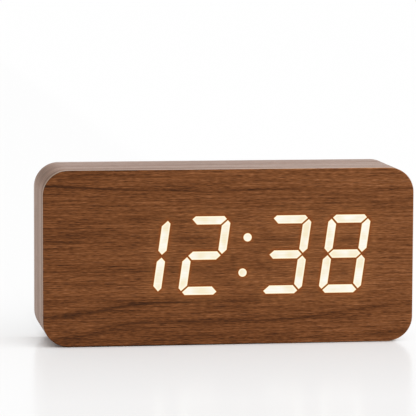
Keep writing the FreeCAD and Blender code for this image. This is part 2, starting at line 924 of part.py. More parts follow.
def ribbon_cable():
    first_x, second_x = ribbon_ends()
    start_y = button_board_front_y - plug_depth
    end_y = board_back_y + plug_depth
    gap = start_y - end_y
    points = [vec(first_x, start_y, row_z), vec(first_x, start_y - gap / 3, row_z),
              vec(second_x, end_y + gap / 3, row_z), vec(second_x, end_y, row_z)]
    half_thick = ribbon_thickness / 2
    half_wide = ribbon_width / 2
    corners = [vec(first_x - half_thick, start_y, row_z - half_wide),
               vec(first_x + half_thick, start_y, row_z - half_wide),
               vec(first_x + half_thick, start_y, row_z + half_wide),
               vec(first_x - half_thick, start_y, row_z + half_wide)]
    profile = Part.makePolygon(corners + corners[:1])
    return rounded_path(points, ribbon_bend).makePipeShell([profile], True, False)


def battery_lead(tab, end_x):
    x0, x1, z = tab
    outside_x = x1 - tab_reach / 2 if x1 > bay_right else x0 + tab_reach / 2
    start_y = cell_y - tab_thickness / 2
    turn_y = bay_front_y - wire_bend
    land_y = board_back_y + 2 * wire_bend
    points = [vec(outside_x, start_y, z), vec(outside_x, turn_y, z), vec(end_x, land_y, z),
              vec(end_x, board_back_y, z)]
    ring = Part.Wire(Part.makeCircle(wire_radius, points[0], vec(0, -1, 0)))
    return rounded_path(points, wire_bend).makePipeShell([ring], True, False)


# ---- All the pieces ----
def all_nodes():
    nodes = {
        "case_body": case_body(),
        "side_veneer": side_veneer(),
        "front_veneer": front_veneer(),
        "lit_segments": lit_segments(),
        "corner_blocks": corner_blocks(),
        "rubber_feet": rubber_feet(),
        "diffuser_film": diffuser_film(),
        "segment_reflector": segment_reflector(),
        "led_chips": led_chips(),
        "display_board": display_board(),
        "display_board_screws": display_board_screws(),
        "controller_chip": chip_body(controller_place, controller_width, controller_depth),
        "controller_leads": chip_leads(controller_place, controller_depth, controller_lead_count),
        "clock_chip": chip_body(timekeeper_place, timekeeper_width, timekeeper_depth),
        "clock_chip_leads": chip_leads(timekeeper_place, timekeeper_depth, timekeeper_lead_count),
        "quartz_crystal": quartz_crystal(),
        "backup_cell_holder": backup_cell_holder(),
        "backup_cell": backup_cell(),
        "backup_cell_clip": backup_cell_clip(),
        "buzzer": buzzer(),
        "capacitors": capacitors(),
        "resistors": resistors(),
        "back_panel": back_panel(),
        "back_panel_screws": back_panel_screws(),
        "battery_door": battery_door(),
        "battery_contacts": battery_contacts(),
        "battery_springs": battery_springs(),
        "battery_lead_red": battery_lead(contact_tabs()[0], display_x + red_lead_place),
        "battery_lead_black": battery_lead(contact_tabs()[1], board_left + board_end),
        "button_board": button_board(),
        "button_board_screws": button_board_screws(),
        "switch_housings": switch_housings(),
        "usb_socket": usb_socket(),
        "usb_tongue": usb_tongue(),
        "ribbon_plugs": ribbon_plugs(),
        "ribbon_cable": ribbon_cable(),
    }
    for index, place in enumerate(("top", "middle", "bottom")):
        nodes["battery_cell_" + place] = battery_cell(index)
    for name, x in zip(button_names, button_x):
        nodes[name + "_button"] = button_cap(name, x)
        nodes[name + "_plunger"] = switch_plunger(x)
    return nodes


os.makedirs("parts", exist_ok=True)
for node_name, shape in all_nodes().items():
    shape.exportStep("parts/" + node_name + ".step")
    print(node_name, "solids", len(shape.Solids), "volume", round(shape.Volume, 2), "valid", shape.isValid())
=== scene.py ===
# %% [markdown]
# # A wooden LED clock, dressed for its portrait
# The real clock is a fibreboard box wrapped in walnut veneer. Its figures shine through the front,
# and a plastic panel with buttons and a battery door closes the back. The solid parts come from CAD
# and already sit at their real size and place. This lesson gives each of them its finish, and it
# makes new meshes only where a finish needs a finer shape than the solid has.

# %% Load the clock's solid parts
import json
import math

import bmesh
import bpy
import numpy as np
from mathutils import Matrix, Vector
from mathutils.geometry import delaunay_2d_cdt


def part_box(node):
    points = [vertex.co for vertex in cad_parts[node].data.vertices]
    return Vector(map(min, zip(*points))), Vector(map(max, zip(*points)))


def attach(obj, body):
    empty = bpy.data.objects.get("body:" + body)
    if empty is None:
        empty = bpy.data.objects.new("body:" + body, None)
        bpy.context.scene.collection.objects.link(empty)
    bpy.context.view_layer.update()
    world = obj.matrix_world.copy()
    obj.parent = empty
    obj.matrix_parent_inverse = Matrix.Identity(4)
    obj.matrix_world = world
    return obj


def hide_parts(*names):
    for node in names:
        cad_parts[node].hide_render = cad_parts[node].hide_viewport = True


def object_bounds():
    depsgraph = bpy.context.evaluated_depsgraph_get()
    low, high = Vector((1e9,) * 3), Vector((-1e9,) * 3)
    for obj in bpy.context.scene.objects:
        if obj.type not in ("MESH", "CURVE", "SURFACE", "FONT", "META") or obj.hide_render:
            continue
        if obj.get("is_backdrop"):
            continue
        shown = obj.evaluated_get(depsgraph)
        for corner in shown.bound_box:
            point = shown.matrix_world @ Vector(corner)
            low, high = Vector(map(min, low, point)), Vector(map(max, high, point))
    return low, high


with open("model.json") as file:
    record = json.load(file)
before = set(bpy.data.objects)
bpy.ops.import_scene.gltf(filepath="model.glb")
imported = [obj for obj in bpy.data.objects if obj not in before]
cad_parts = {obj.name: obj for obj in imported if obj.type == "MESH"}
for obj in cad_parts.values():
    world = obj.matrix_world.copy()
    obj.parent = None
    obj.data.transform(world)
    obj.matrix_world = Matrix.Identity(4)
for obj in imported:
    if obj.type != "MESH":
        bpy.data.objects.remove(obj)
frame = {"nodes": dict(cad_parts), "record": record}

mm = 0.001
solids = frame["nodes"]
cad_low, cad_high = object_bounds()
print(len(solids), "solid parts, in mm:", [round(size / mm, 1) for size in cad_high - cad_low])

# %% [markdown]
# ## Words for building a finish
# Every finish here is a small tree of shader nodes. Building trees by hand in code is wordy, so a few
# helpers come first: one makes a colour, one adds a node and wires it, and one each makes sums, noise,
# ranges, ramps, mixes and relief. Noise is always asked for in millimetres, so that a pore or a fibre
# keeps its real size however large the piece is.

# %% A colour as it looks on a screen
def paint(red, green, blue):
    """Screen values from 0 to 255 as the straight light values that shaders mix."""
    shares = [value / 255 for value in (red, green, blue)]
    # The numbers are those of every screen's curve: a short straight foot, and a power above it.
    straight = [share / 12.92 if share < 0.04 else ((share + 0.055) / 1.055) ** 2.4 for share in shares]
    return (*straight, 1.0)


black = paint(0, 0, 0)
white = paint(255, 255, 255)
print("a middle grey in straight light:", round(paint(128, 128, 128)[0], 3))

# %% Nodes, sums and noise
def add_node(material, kind, inputs=None, **settings):
    """One shader node. An input is set to a value, or wired if it is given another node's output."""
    made = material.node_tree.nodes.new("ShaderNode" + kind)
    for name, value in settings.items():
        setattr(made, name, value)
    for name, value in (inputs or {}).items():
        if isinstance(value, bpy.types.NodeSocket):
            material.node_tree.links.new(value, made.inputs[name])
        else:
            made.inputs[name].default_value = value
    return made


def calc(material, operation, *values):
    return add_node(material, "Math", dict(enumerate(values)), operation=operation).outputs[0]


def noise(material, place, lengths, detail=2.0, shift=0.0):
    """Noise in patches of about these lengths, in mm, along X, Y and Z. A shift gives another patch."""
    scale = [1 / (length * mm) for length in lengths]
    stretched = add_node(material, "Mapping", {"Vector": place, "Scale": scale, "Location": [shift] * 3})
    made = add_node(material, "TexNoise", {"Vector": stretched.outputs[0], "Scale": 1.0, "Detail": detail})
    return made.outputs["Fac"]


print("helpers for nodes, sums and noise are ready")

# %% Ranges, ramps and mixes
def spread(material, value, low, high, to_low=0.0, to_high=1.0, easing="LINEAR"):
    """Stretches the range from low to high over the range from to_low to to_high, and stops there."""
    ends = {"Value": value, "From Min": low, "From Max": high, "To Min": to_low, "To Max": to_high}
    return add_node(material, "MapRange", ends, interpolation_type=easing).outputs["Result"]


def rise(material, value, low, high, to_low, to_high):
    """As spread, but easing in and out."""
    return spread(material, value, low, high, to_low, to_high, "SMOOTHSTEP")


def ramp(material, value, *stops):
    """Turns a value from 0 to 1 into a colour. Each stop is a place on the ramp and its colour."""
    made = add_node(material, "ValToRGB", {"Fac": value})
    points = made.color_ramp.elements
    while len(points) < len(stops):
        points.new(0.5)
    for point, (position, colour) in zip(points, stops):
        point.position = position
        point.color = colour
    return made.outputs["Color"]


def mix_values(material, first, second, share=0.5):
    """This share of the first value and the rest of the second."""
    rest = calc(material, "MULTIPLY", second, 1 - share)
    return calc(material, "MULTIPLY_ADD", first, share, rest)


# A Mix node keeps sockets for numbers and vectors too. The two for colours stand at these places.
colour_sockets = (6, 7)
mixed_colour = 2


def mix_colours(material, share, first, second):
    """first where the share is 0 and second where it is 1. Either may be another node's output."""
    made = add_node(material, "Mix", {"Factor": share}, data_type="RGBA")
    for number, colour in zip(colour_sockets, (first, second)):
        if isinstance(colour, bpy.types.NodeSocket):
            material.node_tree.links.new(colour, made.inputs[number])
        else:
            made.inputs[number].default_value = colour
    return made.outputs[mixed_colour]


print("helpers for ranges, ramps and mixes are ready")

# %% The start of every finish
def start_finish(name, roughness, metallic=0.0, specular=0.5):
    """A new material, its main shader, and the place on the piece in metres."""
    material = bpy.data.materials.new(name)
    material.use_nodes = True
    shader = material.node_tree.nodes["Principled BSDF"]
    shader.inputs["Roughness"].default_value = roughness
    shader.inputs["Metallic"].default_value = metallic
    shader.inputs["Specular IOR Level"].default_value = specular
    return material, shader, add_node(material, "TexCoord").outputs["Object"]


def wire(material, value, shader, name):
    material.node_tree.links.new(value, shader.inputs[name])


def relief(material, shader, height, depth):
    """Lets a value from 0 to 1 stand up by this many mm, as light and shade only."""
    bump = add_node(material, "Bump", {"Height": height, "Distance": depth * mm, "Strength": 1.0})
    wire(material, bump.outputs["Normal"], shader, "Normal")


def stored_value(material, name):
    """One number that each point of the mesh keeps. Where a mesh keeps none of this name, it is 0."""
    return add_node(material, "Attribute", attribute_name=name).outputs["Fac"]


print("helpers for finishes are ready")

# %% [markdown]
# ## The walnut
# Walnut veneer is a thin slice of wood. Dark growth lines cross it in slow bends, bands and streaks
# lie between them, and fibres, flecks, dashes and pores make its finest figure. The growth lines are
# drawn one by one, because a sheet is known by them. Each other part is one noise, stretched along
# the grain. None of this follows the piece's X, Y and Z: it follows numbers that are stored on the
# mesh, which say how far along the grain a point is, how far across, and how deep. So one maker
# serves the flat front and the strip that bends round the corners. The strip's finish shines more,
# as oiled wood does where light glances off it, and its colour is greyed by a painted sheen.

# %% How the grain bends
sheet_end = cad_high.x
left_stretch = (-78 * mm, -38 * mm)
right_stretch = (15 * mm, sheet_end)
lower_part = (-8 * mm, -20 * mm)
left_climb = 6.5 * mm
right_climb = 6.0 * mm
grain_sway_lengths = (150, 40, 60)
grain_sway = 4 * mm


def sway(material, sheet, lengths, reach, across):
    """The place across the grain, moved by up to half of this reach to either side."""
    sideways = calc(material, "SUBTRACT", noise(material, sheet, lengths, 1.0, 4.0), 0.5)
    return calc(material, "MULTIPLY_ADD", sideways, reach, across)


def bent_across(material, sheet, along, across):
    """The place across the grain. Low on the sheet, the grain climbs in a left and a right stretch."""
    at_left = rise(material, along, *left_stretch, -left_climb, 0.0)
    at_right = rise(material, along, *right_stretch, 0.0, right_climb)
    low_down = rise(material, across, *lower_part, 0.0, 1.0)
    climb = calc(material, "MULTIPLY", calc(material, "ADD", at_left, at_right), low_down)
    return calc(material, "SUBTRACT", sway(material, sheet, grain_sway_lengths, grain_sway, across), climb)


print("low down, the grain climbs", round((left_climb + right_climb) / mm, 1), "mm in all")

# %% The dark growth lines
# For each line: its place across the sheet at the left, in the middle and at the right in mm, its
# width in mm, and how dark it is at the same three places.
growth_lines = [
    ((33.4, 33.0, 32.5), 0.9, (0.45, 0.10, 0.05)),
    ((28.8, 27.2, 26.8), 0.45, (0.80, 0.50, 0.65)),
    ((28.2, 27.0, 27.0), 1.6, (0.35, 0.05, 0.05)),
    ((21.5, 20.5, 19.0), 0.6, (0.30, 0.10, 0.10)),
    ((14.0, 15.0, 13.5), 0.8, (0.05, 0.30, 0.00)),
    ((8.4, 8.0, 7.2), 2.4, (0.45, 0.15, 0.05)),
    ((9.7, 9.5, 9.0), 0.5, (0.25, 0.00, 0.00)),
    ((6.9, 6.6, 7.1), 0.5, (0.45, 0.15, 0.45)),
    ((-5.0, -5.2, -6.0), 1.3, (0.10, 0.28, 0.05)),
    ((-16.6, -16.8, -15.0), 0.7, (0.50, 0.10, 0.10)),
    ((-23.4, -18.3, -16.5), 1.3, (0.40, 0.50, 0.00)),
    ((-23.3, -18.3, -16.5), 0.5, (0.30, 0.40, 0.00)),
    ((-29.0, -25.9, -24.0), 0.5, (0.30, 0.30, 0.10)),
    ((-33.5, -26.1, -20.2), 1.4, (0.40, 0.35, 0.45)),
    ((-33.4, -26.0, -20.2), 0.5, (0.35, 0.20, 0.30)),
    ((-36.0, -33.8, -31.8), 2.4, (0.00, 0.50, 0.50)),
    # The last row, nine millimetres wide, is no single line: it darkens the lower part of the sheet, most
    # at the left.
    ((-24.0, -25.0, -32.0), 9.0, (0.20, 0.15, 0.10)),
]
print(len(growth_lines), "growth lines")

# %% How the growth lines darken the wood
left_part_end = -32 * mm
right_part_start = 15 * mm
fade_stretch = (-18 * mm, 30 * mm)
line_sway_lengths = (60, 30, 60)
line_sway = 1.6 * mm
patch_lengths = (30, 6, 30)
first_patch = 11.0
patch_levels = (0.35, 0.6)
patch_strengths = (0.5, 1.1)


def bell(material, off):
    """1 where the value is 0, and less and less on both sides of it."""
    squared = calc(material, "MULTIPLY", off, off)
    return calc(material, "EXPONENT", calc(material, "MULTIPLY", squared, -1.0))


def growth_shade(material, sheet, along, across):
    """From 0 to about 1. Each line changes its place on the way along, and fades in and out."""
    at_left = rise(material, along, -sheet_end, left_part_end, 1.0, 0.0)
    at_right = rise(material, along, right_part_start, sheet_end, 0.0, 1.0)
    fade_right = rise(material, along, *fade_stretch, 0.0, 1.0)

    def on_the_way(rightward, left, middle, right):
        towards_left = calc(material, "MULTIPLY_ADD", at_left, left - middle, middle)
        return calc(material, "MULTIPLY_ADD", rightward, right - middle, towards_left)

    wandered = sway(material, sheet, line_sway_lengths, line_sway, across)
    shade = 0.0
    for number, (places, width, depths) in enumerate(growth_lines):
        centre = on_the_way(at_right, *[value * mm for value in places])
        off = calc(material, "MULTIPLY", calc(material, "SUBTRACT", wandered, centre), 1 / (width * mm))
        patches = noise(material, sheet, patch_lengths, 2.0, first_patch + number)
        strength = rise(material, patches, *patch_levels, *patch_strengths)
        fading = calc(material, "MULTIPLY", strength, on_the_way(fade_right, *depths))
        shade = calc(material, "MULTIPLY_ADD", bell(material, off), fading, shade)
    return shade


print("a line's patches are about", patch_lengths[0], "mm long")

# %% The fine figure
# For each part: the length, width and depth of its patches in mm, how much detail they have, which
# noise they take, and the two levels of that noise that stand for none of it and for all of it.
fine_figure = {
    "bands": ((160, 5, 40), 3.0, 1.3, 0.3, 0.7),
    "streaks": ((40, 1.1, 20), 3.0, 7.1, 0.25, 0.75),
    "fibres": ((15, 0.4, 20), 1.0, 2.7, 0.25, 0.75),
    "pores": ((5, 0.24, 20), 1.0, 9.2, 0.56, 0.72),
    "flecks": ((2.4, 0.22, 20), 1.0, 3.9, 0.25, 0.75),
    "dashes": ((12, 0.42, 20), 1.0, 14.6, 0.6, 0.72),
}
bent_parts = ("bands", "streaks")


def figure_of(material, stored, sheet):
    """Each part of the figure as a value from 0 to 1. Bands and streaks follow the bent sheet."""
    figure = {}
    for part, (lengths, detail, shift, none, full) in fine_figure.items():
        place = sheet if part in bent_parts else stored
        figure[part] = spread(material, noise(material, place, lengths, detail, shift), none, full)
    return figure


print("the fine figure has", len(fine_figure), "parts")

# %% How light the wood is
tone_at_ends = (0.003, 0.098)
growth_darkness = 0.38
lightness = {"streaks": 0.11, "fibres": 0.34, "flecks": 0.46, "dashes": -0.2}


def wood_tone(material, figure, band_share, along, shade):
    """A place on the ramp of the wood's colours, from dark at 0 to light at 1."""
    tone = spread(material, along, -sheet_end, sheet_end, *tone_at_ends)
    for part, share in {"bands": band_share, **lightness}.items():
        tone = calc(material, "MULTIPLY_ADD", figure[part], share, tone)
    tone = calc(material, "MULTIPLY_ADD", shade, -growth_darkness, tone)
    # The stored number carries the strip's tone, and the painted light and shade of the strip and of the
    # front's rim.
    return calc(material, "ADD", tone, stored_value(material, "pale"))


print("the sheet's right end is lighter by", round(tone_at_ends[1] - tone_at_ends[0], 3))

# %% The wood's colours
wood_colours = [
    (0.1, paint(60, 33, 15)), (0.4, paint(101, 58, 28)), (0.62, paint(128, 78, 43)),
    (0.9, paint(157, 102, 64)), (1.0, paint(172, 122, 82)),
]
pore_colour = paint(48, 25, 12)
pore_share = 0.6
# The strip's painted sheen, a grey that stands in for light glancing off it:
sheen_grey = paint(124, 98, 78)
# Painted shade where the strip is dull:
dull_shade_colour = paint(94, 80, 68)
dull_shade_share = 0.5
# The painted highlight along the strip's front edge:
edge_highlight_colour = paint(208, 184, 158)
glowing_wood = paint(88, 38, 4)


def wood_colour(material, tone, pores, painted_sheen):
    """The wood with its pores, a painted sheen, painted shade where dull, a painted edge highlight, red
    where lit.
    """
    wood = ramp(material, tone, *wood_colours)
    wood = mix_colours(material, calc(material, "MULTIPLY", pores, pore_share), wood, pore_colour)
    # The strip's colour is greyed with a painted sheen.
    if painted_sheen:
        wood = mix_colours(material, painted_sheen, wood, sheen_grey)
        # Where the strip is dull, its colour darkens with a painted shade.
        dull_shade = calc(material, "MULTIPLY", stored_value(material, "dull"), dull_shade_share)
        wood = mix_colours(material, dull_shade, wood, dull_shade_colour)
    # A painted highlight along the strip's front edge.
    wood = mix_colours(material, stored_value(material, "painted_edge_highlight"), wood, edge_highlight_colour)
    return mix_colours(material, stored_value(material, "glow"), wood, glowing_wood)


print("the wood's ramp has", len(wood_colours), "colours")

# %% The light that creeps through the wood
creeping_light = {"glow": (0.10, 0.016, 0.0), "halo": (0.042, 0.018, 0.006)}


def light_in_wood(material):
    """Red close to a lit figure, and fainter and browner further off."""
    lights = []
    for name, colour in creeping_light.items():
        scaled = {0: colour, "Scale": stored_value(material, name)}
        lights.append(add_node(material, "VectorMath", scaled, operation="SCALE").outputs[0])
    return add_node(material, "VectorMath", dict(enumerate(lights)), operation="ADD").outputs[0]


print("light creeps in", len(creeping_light), "steps")

# %% The two walnut finishes
# Bands shine more than the wood between them, and pores less. The uneven share weakens both.
band_gloss = 0.5
pore_dullness = 0.3
uneven_share = 0.4
fibre_share = 0.5
pore_depth = 0.03


def walnut_finish(name, specular, roughness, dullness, painted_sheen, band_share):
    """dullness is how much rougher it gets where the mesh says that it is dull."""
    material, shader, _ = start_finish(name, roughness, specular=specular)
    stored = add_node(material, "Attribute", attribute_name="grain").outputs["Vector"]
    along, across, depth = add_node(material, "SeparateXYZ", {"Vector": stored}).outputs
    bent = bent_across(material, stored, along, across)
    sheet = add_node(material, "CombineXYZ", {"X": along, "Y": bent, "Z": depth}).outputs[0]
    figure = figure_of(material, stored, sheet)
    shade = growth_shade(material, stored, along, across)
    tone = wood_tone(material, figure, band_share, along, shade)
    wire(material, wood_colour(material, tone, figure["pores"], painted_sheen), shader, "Base Color")
    wire(material, light_in_wood(material), shader, "Emission Color")
    shader.inputs["Emission Strength"].default_value = 1.0
    pores_dull = calc(material, "MULTIPLY", figure["pores"], pore_dullness)
    uneven = calc(material, "MULTIPLY_ADD", figure["bands"], -band_gloss, pores_dull)
    duller = calc(material, "MULTIPLY_ADD", stored_value(material, "dull"), dullness, roughness)
    wire(material, calc(material, "MULTIPLY_ADD", uneven, uneven_share, duller), shader, "Roughness")
    raised = calc(material, "MULTIPLY", figure["fibres"], fibre_share)
    relief(material, shader, calc(material, "SUBTRACT", raised, figure["pores"]), pore_depth)
    print(name, "has", len(material.node_tree.nodes), "nodes")
    return material


front_walnut = walnut_finish("front_walnut", specular=0.07, roughness=0.42, dullness=0.5,
                             painted_sheen=0.0, band_share=0.11)
strip_walnut = walnut_finish("strip_walnut", specular=0.5, roughness=0.5, dullness=0.35,
                             painted_sheen=0.35, band_share=0.4)

# %% [markdown]
# ## The front sheet and the glow round its figures
# The figures are windows thinned from behind until light passes. A little of that light creeps
# sideways through the wood, so each figure has a narrow red-brown rim and, a few millimetres wide, a
# faint halo. To paint them, the mesh needs points near each window that know how far away the window
# is. The sheet starts as the CAD piece's own mesh. Its flat front is taken off and filled again with
# small triangles round the windows, and each new point stores its glow and its halo. The sheet's
# rounded outer rim is kept, and its points store how dull it is from left to right, and a painted
# shade along most of it with a painted highlight at its right end.

# %% Where the front's open edges run
touching = 0.001 * mm
front_y = cad_low.y


def flat_copy(node):
    """A bmesh of the node with its split corners joined again."""
    sheet = bmesh.new()
    sheet.from_mesh(solids[node].data)
    bmesh.ops.remove_doubles(sheet, verts=sheet.verts, dist=touching)
    return sheet


def is_front(face):
    return all(abs(corner.co.y - front_y) < touching for corner in face.verts)


def loops_of(edges):
    """Sorts loose edges into closed loops of corners."""
    left = set(edges)
    loops = []
    while left:
        edge = left.pop()
        loop = [edge.verts[0], edge.verts[1]]
        while True:
            onward = [e for e in loop[-1].link_edges if e in left]
            if not onward:
                break
            left.remove(onward[0])
            loop.append(onward[0].other_vert(loop[-1]))
        loops.append(loop[:-1])
    return loops


sheet = flat_copy("front_veneer")
bmesh.ops.delete(sheet, geom=[face for face in sheet.faces if is_front(face)], context="FACES_ONLY")
rims = loops_of([edge for edge in sheet.edges if edge.is_boundary])
outer_rim = max(rims, key=lambda loop: max(corner.co.x for corner in loop))
windows = [loop for loop in rims if loop is not outer_rim]
print("the front has", len(windows), "windows")

# %% How far a point is from a window, and whether it is inside
def flat(loop):
    return np.array([(corner.co.x, corner.co.z) for corner in loop])


def gap_to(points, outline):
    """How far each point is from the nearest edge of the outline."""
    ends = np.roll(outline, -1, axis=0)
    runs = ends - outline
    offsets = points[:, None] - outline[None]
    shares = np.clip((offsets * runs).sum(2) / (runs * runs).sum(1), 0, 1)
    return np.linalg.norm(offsets - shares[..., None] * runs, axis=2).min(1)


def inside(points, outline):
    """Whether a line from each point towards +X crosses the outline an odd number of times."""
    ends = np.roll(outline, -1, axis=0)
    x, z = points[:, 0, None], points[:, 1, None]
    spans = (outline[:, 1] > z) != (ends[:, 1] > z)
    heights = np.where(ends[:, 1] == outline[:, 1], 1.0, ends[:, 1] - outline[:, 1])
    cross = outline[:, 0] + (z - outline[:, 1]) / heights * (ends[:, 0] - outline[:, 0])
    return (spans & (x < cross)).sum(1) % 2 == 1


window_outlines = [flat(loop) for loop in windows]
print("a window's corners:", sorted({len(outline) for outline in window_outlines}))

# %% Points round the windows
point_step = 0.55 * mm
point_margin = 7.0 * mm
least_gap = 0.4 * point_step
corners = np.vstack(window_outlines)
low = corners.min(0) - point_margin
high = corners.max(0) + point_margin
columns = np.arange(low[0], high[0], point_step)
rows = np.arange(low[1], high[1], point_step)
field = np.array([(x, z) for x in columns for z in rows])
gaps = np.array([gap_to(field, outline) for outline in window_outlines]).min(0)
covered = np.array([inside(field, outline) for outline in window_outlines]).any(0)
field = field[(gaps > least_gap) & (gaps < point_margin) & ~covered]
print(len(field), "points round the windows")

# %% The new front
triangles_within = 1
same_point = 1e-9
loose = [corner for loop in [outer_rim] + windows for corner in loop]
loose += [sheet.verts.new((x, front_y, z)) for x, z in field]
number_of = {corner: number for number, corner in enumerate(loose)}
kept_edges = [(number_of[a], number_of[b]) for loop in [outer_rim] + windows
              for a, b in zip(loop, loop[1:] + loop[:1])]
flat_points = [Vector((corner.co.x, corner.co.z)) for corner in loose]
filled = delaunay_2d_cdt(flat_points, kept_edges, [], triangles_within, same_point)
places, _, triangles, sources, *_ = filled
middles = np.array([sum((places[i] for i in triangle), Vector((0, 0))) / 3 for triangle in triangles])
in_window = np.array([inside(middles, outline) for outline in window_outlines]).any(0)
for triangle, left_out in zip(triangles, in_window):
    if not left_out:
        face = sheet.faces.new([loose[sources[i][0]] for i in triangle])
        face.normal_update()
        if face.normal.y > 0:
            face.normal_flip()
print("front filled with", len(sheet.faces), "faces in all")

# %% Turning a bmesh into a piece of the clock
def make_piece(name, mesh_in_progress, materials, body="case", stands_for=(), sharp_deg=35):
    """The piece rides on its body and takes the place of the solids that it stands for."""
    mesh = bpy.data.meshes.new(name)
    mesh_in_progress.to_mesh(mesh)
    mesh_in_progress.free()
    for material in materials:
        mesh.materials.append(material)
    mesh.shade_smooth()
    mesh.set_sharp_from_angle(angle=math.radians(sharp_deg))
    piece = bpy.data.objects.new(name, mesh)
    bpy.context.scene.collection.objects.link(piece)
    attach(piece, body)
    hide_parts(*stands_for)
    print(name, "has", len(mesh.polygons), "faces")
    return piece


def store(piece, name, kind, values):
    """Keeps one number or one vector for each point of the mesh, for its finish to read."""
    layer = piece.data.attributes.new(name, kind, "POINT")
    key = "vector" if kind == "FLOAT_VECTOR" else "value"
    layer.data.foreach_set(key, np.asarray(values, np.float32).ravel())


front_sheet = make_piece("front_sheet", sheet, [front_walnut],
                         stands_for=["front_veneer"])

# %% The front's grain, glow and halo
glow_reach = 0.5 * mm
halo_reach = 3.8 * mm
edge_round = 0.35 * mm
points = np.array([point.co for point in front_sheet.data.vertices])
sheet_low, sheet_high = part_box("front_veneer")
middle_z = (sheet_low.z + sheet_high.z) / 2
grain = np.column_stack([points[:, 0], points[:, 2] - middle_z, points[:, 1]])
gaps = np.array([gap_to(points[:, [0, 2]], outline) for outline in window_outlines])
glow = np.clip(np.exp(-gaps / glow_reach).sum(0), 0, 1)
halo = np.exp(-(gaps.min(0) / halo_reach) ** 2)
down_the_rim = np.clip((points[:, 1] - front_y) / edge_round, 0, 1)
store(front_sheet, "grain", "FLOAT_VECTOR", grain)
store(front_sheet, "glow", "FLOAT", glow * (down_the_rim == 0))
store(front_sheet, "halo", "FLOAT", halo * (down_the_rim == 0))
print("points that glow:", int((glow > 0.1).sum()), "and points on the rim:", int((down_the_rim > 0).sum()))

# %% The front's rounded rim
# How dull the rim is at these places from left to right, and its painted shade (below 0) and
# painted highlight (above 0). It stays even past the ends.
rim_places = [-sheet_end, -65 * mm, 10 * mm, 65 * mm]
rim_shade_and_highlight = [0.0, -0.5, -0.5, 0.6]
rim_dullness = [0.0, 1.0, 1.0, 1.0]
turned_out = np.sqrt(1 - (1 - down_the_rim) ** 2)
for name, values in (("pale", rim_shade_and_highlight), ("dull", rim_dullness)):
    store(front_sheet, name, "FLOAT", turned_out * np.interp(points[:, 0], rim_places, values))
print("the rim is palest at", round(rim_places[-1] / mm), "mm")

# %% [markdown]
# ## The strip round the block
# One long strip of veneer goes round the top, the sides and the underside, and its ends butt in the
# middle of the underside, where nobody looks. It is made by walking round a rounded rectangle and
# setting the strip's section at each step. The walk knows how far it has gone, and that distance is
# what makes the grain run round the corners instead of straight through them. The corners and the
# left side are rougher and carry a painted shade, the left side also a painted light, and the front
# edge a painted highlight, so the strip stores where that is.

# %% Walking round the block
corner_radius = 10.0 * mm
corner_steps = 24


def walk_round(half_wide, half_high, radius):
    """Stations (x, z, outward x, outward z, distance) from the middle of the underside and back to it."""
    stations = [(0.0, -half_high, 0.0, -1.0, 0.0)]
    reach_x, reach_z = half_wide - radius, half_high - radius
    travelled = reach_x
    corners = [(1, -1, -90), (1, 1, 0), (-1, 1, 90), (-1, -1, 180)]
    legs = [2 * reach_z, 2 * reach_x, 2 * reach_z, reach_x]
    for (side, up, start_deg), leg in zip(corners, legs):
        for step in range(corner_steps + 1):
            turned = math.radians(90 * step / corner_steps)
            angle = math.radians(start_deg) + turned
            out_x, out_z = math.cos(angle), math.sin(angle)
            stations.append((side * reach_x + radius * out_x, up * reach_z + radius * out_z,
                             out_x, out_z, travelled + radius * turned))
        travelled += radius * math.pi / 2 + leg
    stations.append((0.0, -half_high, 0.0, -1.0, travelled))
    return stations


band_low, band_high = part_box("side_veneer")
half_wide = (band_high.x - band_low.x) / 2
half_high = (band_high.z - band_low.z) / 2
stations = walk_round(half_wide, half_high, corner_radius)
print("the strip is", round(stations[-1][4] / mm, 1), "mm long")

# %% The strip cut across
strip_thickness = 0.6 * mm
highlight_width = 1.0 * mm
highlight_fade = 3.0 * mm
edge_steps = 4


def strip_section():
    """Points (how far out from the face, y) all round the section. Its edge at the back is rounded."""
    points = [(-strip_thickness, band_low.y), (0.0, band_low.y)]
    # These two points bound the painted highlight along the front edge.
    points += [(0.0, band_low.y + highlight_width), (0.0, band_low.y + highlight_fade)]
    for step in range(edge_steps + 1):
        angle = math.radians(90 * step / edge_steps)
        out = edge_round * (math.cos(angle) - 1)
        back = edge_round * (math.sin(angle) - 1)
        points.append((out, band_high.y + back))
    return points + [(-strip_thickness, band_high.y)]


section = strip_section()
print("the strip's section has", len(section), "points")

# %% The strip
butt_gap = 0.03 * mm


def skin(work, rings):
    """Joins rings of corners into a closed body, with a lid on the first ring and on the last."""
    size = len(rings[0])
    for near, far in zip(rings, rings[1:]):
        for a in range(size):
            b = (a + 1) % size
            work.faces.new([near[a], near[b], far[b], far[a]])
    work.faces.new(rings[0])
    work.faces.new(rings[-1])
    bmesh.ops.recalc_face_normals(work, faces=work.faces)


strip = bmesh.new()
rings = []
nudges = [butt_gap] + [0.0] * (len(stations) - 2) + [-butt_gap]
for (x, z, out_x, out_z, _), nudge in zip(stations, nudges):
    ring = [(x + nudge + out * out_x, y, middle_z + z + out * out_z) for out, y in section]
    rings.append([strip.verts.new(place) for place in ring])
skin(strip, rings)
side_strip = make_piece("side_strip", strip, [strip_walnut],
                        stands_for=["side_veneer"])

# %% The strip's grain and the painted highlight on its front edge
other_wood = 200 * mm
edge_highlight_share = 0.35
grain = [(distance, y + other_wood, out) for *_, distance in stations for out, y in section]
# A painted highlight along the strip's front edge, fading out further back.
painted_edge_highlight = [edge_highlight_share * (y <= band_low.y + highlight_width) for _, y in section]
store(side_strip, "grain", "FLOAT_VECTOR", grain)
store(side_strip, "painted_edge_highlight", "FLOAT", painted_edge_highlight * len(stations))
print("bare points in the section:", sum(value > 0 for value in painted_edge_highlight))

# %% Where the strip is rougher, with its painted shade and painted light
strip_paleness = -0.04
corner_dullness = {(1, -1): 0.3, (1, 1): 0.2, (-1, 1): 0.7, (-1, -1): 0.4}
